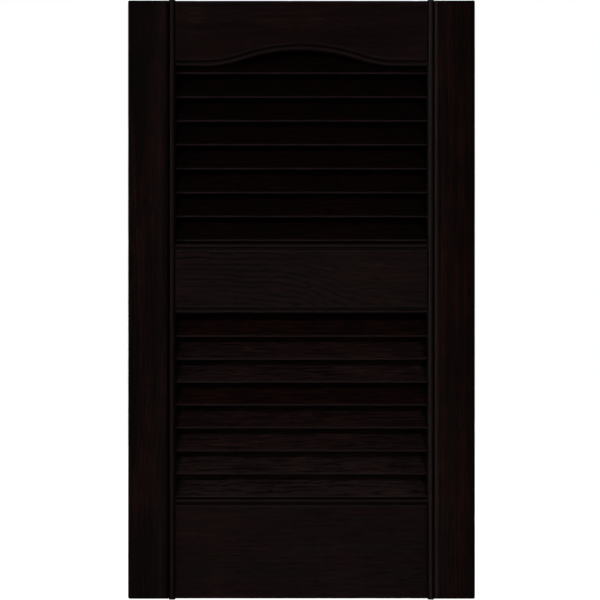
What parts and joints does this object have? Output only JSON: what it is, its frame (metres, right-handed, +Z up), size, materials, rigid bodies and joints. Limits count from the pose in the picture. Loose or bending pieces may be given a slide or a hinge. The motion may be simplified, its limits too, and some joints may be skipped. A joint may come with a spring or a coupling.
{
  "type": "louvred shutter",
  "caption": "Fixed-louvre exterior shutter panel: two stiles, three rails, an arched top rail, beaded inner edges and two banks of sloping louvres that shed rain and pass air.",
  "frame": {"origin": "middle of the back face, on the back of the centre rail, where the panel lies against the wall", "axes": "+X to the right seen from the front, +Z up, the front faces -Y and the back face looks along +Y"},
  "size_m": [0.3682, 0.0286, 0.6372],
  "materials": {
    "stile_finish": "near-black brown satin stain over upright open grain",
    "rail_finish": "near-black brown satin stain over level open grain",
    "louvre_finish": "near-black brown satin stain over fine lengthwise grain",
    "bead_finish": "near-black brown satin stain on a narrow moulding"
  },
  "bodies": {
    "root": {"stile_left": "stile_finish", "stile_right": "stile_finish", "top_rail": "rail_finish", "centre_rail": "rail_finish", "bottom_rail": "rail_finish", "bead_strip_left": "bead_finish", "bead_strip_right": "bead_finish", "louvre_01": "louvre_finish", "louvre_02": "louvre_finish", "louvre_03": "louvre_finish", "louvre_04": "louvre_finish", "louvre_05": "louvre_finish", "louvre_06": "louvre_finish", "louvre_07": "louvre_finish", "louvre_08": "louvre_finish", "louvre_09": "louvre_finish", "louvre_10": "louvre_finish", "louvre_11": "louvre_finish", "louvre_12": "louvre_finish", "louvre_13": "louvre_finish", "louvre_14": "louvre_finish", "louvre_15": "louvre_finish", "louvre_16": "louvre_finish"}
  },
  "joints": []
}
